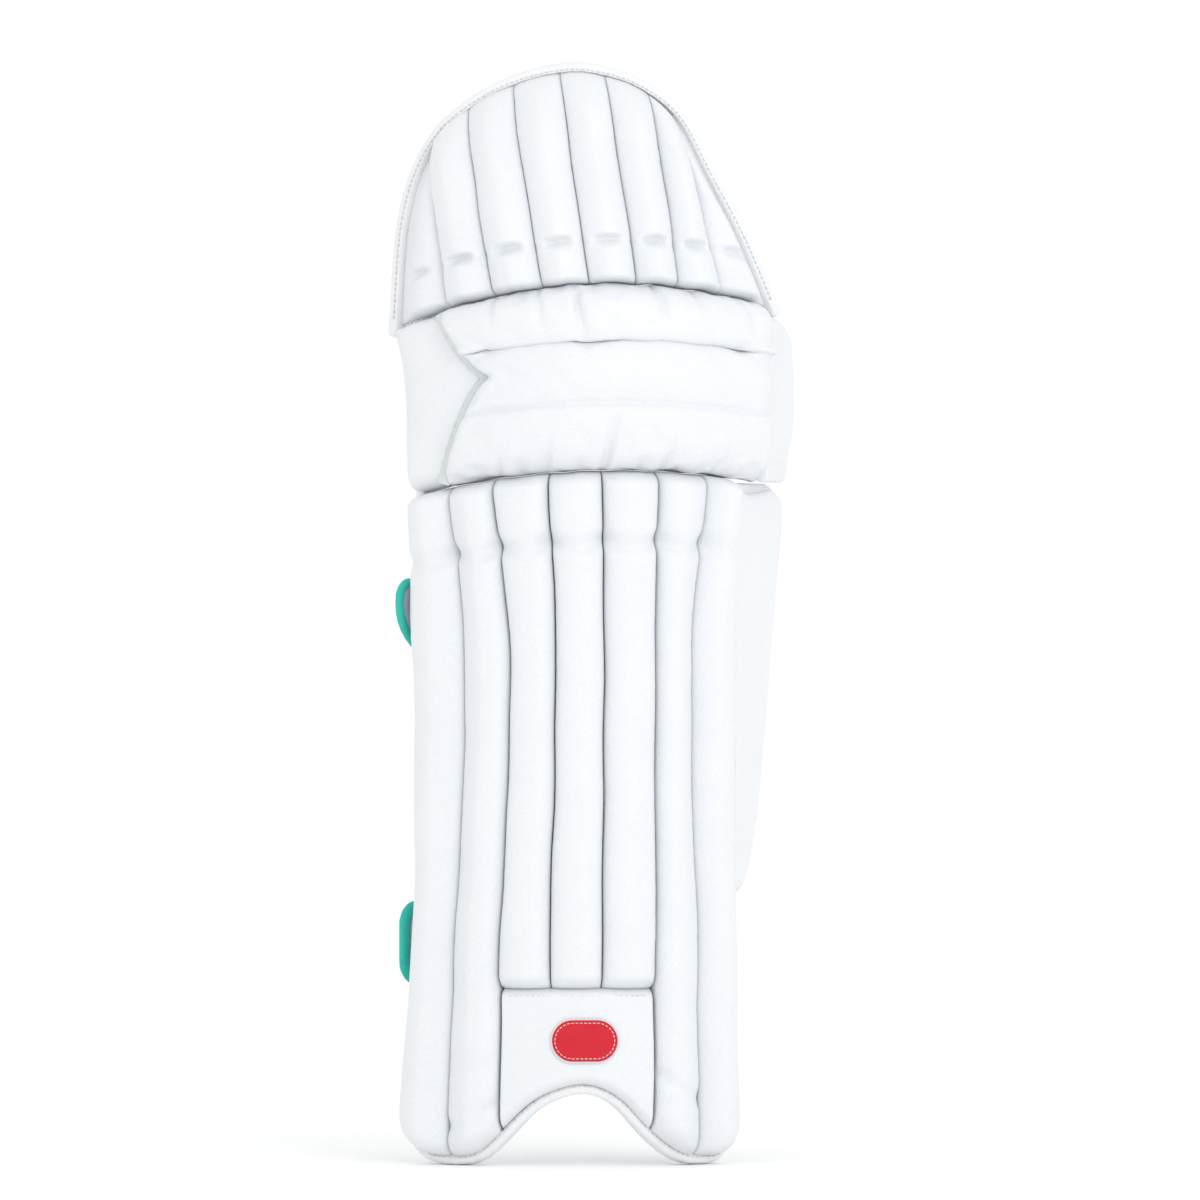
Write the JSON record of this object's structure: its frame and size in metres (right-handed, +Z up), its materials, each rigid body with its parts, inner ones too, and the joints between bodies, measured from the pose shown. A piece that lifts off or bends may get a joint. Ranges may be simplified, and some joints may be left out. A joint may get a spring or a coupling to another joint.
{
  "type": "cricket batting leg pad",
  "caption": "White quilted batting leg guard with cane bolsters on the shin and domed top hat, knee rolls, side wings and teal-bound straps, standing upright on its hem.",
  "frame": {"origin": "centre of the footprint of the upright pad, on the ground plane its two hem lobes stand on", "axes": "+Z up along the pad towards the top hat, +X to the right as seen from the quilted front, +Y backwards into the leg side; the quilted front faces -Y"},
  "size_m": [0.2512, 0.165, 0.6801],
  "materials": {
    "facing": "satin white coated leathercloth",
    "binding_tape": "satin white coated tape",
    "lining": "soft knitted lining",
    "foam": "open-cell wadding",
    "cane": "natural split cane",
    "strap_webbing": "padded woven webbing",
    "strap_tongue": "padded webbing with a bright bound edge",
    "loop_pile": "brushed loop pile",
    "badge": "woven patch"
  },
  "bodies": {
    "shin": {"shin_bolster_cover_1": "facing", "shin_bolster_cover_2": "facing", "shin_bolster_cover_3": "facing", "shin_bolster_cover_4": "facing", "shin_bolster_cover_5": "facing", "shin_bolster_cover_6": "facing", "shin_bolster_cover_7": "facing", "shin_bolster_core_1": "cane", "shin_bolster_core_2": "cane", "shin_bolster_core_3": "cane", "shin_bolster_core_4": "cane", "shin_bolster_core_5": "cane", "shin_bolster_core_6": "cane", "shin_bolster_core_7": "cane", "shin_foam_sheet": "foam", "shin_lining": "lining", "instep_panel": "facing", "badge_patch": "badge", "inner_bolster_left": "lining", "inner_bolster_right": "lining", "hem_binding_left": "binding_tape", "hem_binding_arch": "binding_tape", "hem_binding_right": "binding_tape", "left_side_panel": "lining", "calf_strap_root": "strap_webbing", "ankle_strap_root": "strap_webbing", "calf_loop_patch": "loop_pile", "ankle_loop_patch": "loop_pile"},
    "right_wing": {"right_wing": "facing"},
    "knee": {"knee_roll_cover_upper": "facing", "knee_roll_core_upper": "foam", "knee_roll_cover_middle": "facing", "knee_roll_core_middle": "foam", "knee_roll_cover_lower": "facing", "knee_roll_core_lower": "foam", "left_knee_panel": "facing", "knee_lining": "lining", "knee_cup_roll_upper": "lining", "knee_cup_roll_lower": "lining"},
    "knee_wing": {"knee_wing": "facing"},
    "top_hat": {"top_hat_bolster_cover_1": "facing", "top_hat_bolster_cover_2": "facing", "top_hat_bolster_cover_3": "facing", "top_hat_bolster_cover_4": "facing", "top_hat_bolster_cover_5": "facing", "top_hat_bolster_cover_6": "facing", "top_hat_bolster_cover_7": "facing", "top_hat_bolster_cover_8": "facing", "top_hat_bolster_core_1": "cane", "top_hat_bolster_core_2": "cane", "top_hat_bolster_core_3": "cane", "top_hat_bolster_core_4": "cane", "top_hat_bolster_core_5": "cane", "top_hat_bolster_core_6": "cane", "top_hat_lining": "lining", "top_hat_binding": "binding_tape"},
    "calf_strap_web": {"calf_strap_web": "strap_webbing"},
    "calf_strap_tongue": {"calf_strap_tongue": "strap_tongue"},
    "ankle_strap_web": {"ankle_strap_web": "strap_webbing"},
    "ankle_strap_tongue": {"ankle_strap_tongue": "strap_tongue"}
  },
  "joints": [
    {"name": "knee_flex", "type": "hinge", "parent": "shin", "child": "knee", "pos_m": [0, -0.012, 0.4245], "axis": [-1, 0, 0], "range_deg": [0, 18], "stiffness_Nm_per_rad": 1.6},
    {"name": "top_hat_flex", "type": "hinge", "parent": "knee", "child": "top_hat", "pos_m": [0, -0.012, 0.5315], "axis": [-1, 0, 0], "range_deg": [0, 18], "stiffness_Nm_per_rad": 0.8},
    {"name": "right_wing_flex", "type": "hinge", "parent": "shin", "child": "right_wing", "pos_m": [0.0901, -0.0165, 0.29], "axis": [0, 0, -1], "range_deg": [0, 25], "stiffness_Nm_per_rad": 0.1},
    {"name": "knee_wing_flex", "type": "hinge", "parent": "knee", "child": "knee_wing", "pos_m": [0.1106, 0.0011, 0.474], "axis": [0, 0, -1], "range_deg": [0, 20], "stiffness_Nm_per_rad": 0.1},
    {"name": "calf_strap_swing", "type": "hinge", "parent": "shin", "child": "calf_strap_web", "pos_m": [0.0965, 0.046, 0.338], "axis": [0, 0, -1], "range_deg": [0, 100]},
    {"name": "calf_strap_peel", "type": "hinge", "parent": "calf_strap_web", "child": "calf_strap_tongue", "pos_m": [-0.1046, 0.047, 0.338], "axis": [0, 0, -1], "range_deg": [0, 110]},
    {"name": "ankle_strap_swing", "type": "hinge", "parent": "shin", "child": "ankle_strap_web", "pos_m": [0.087, 0.046, 0.136], "axis": [0, 0, -1], "range_deg": [0, 100]},
    {"name": "ankle_strap_peel", "type": "hinge", "parent": "ankle_strap_web", "child": "ankle_strap_tongue", "pos_m": [-0.1046, 0.047, 0.136], "axis": [0, 0, -1], "range_deg": [0, 110]}
  ]
}
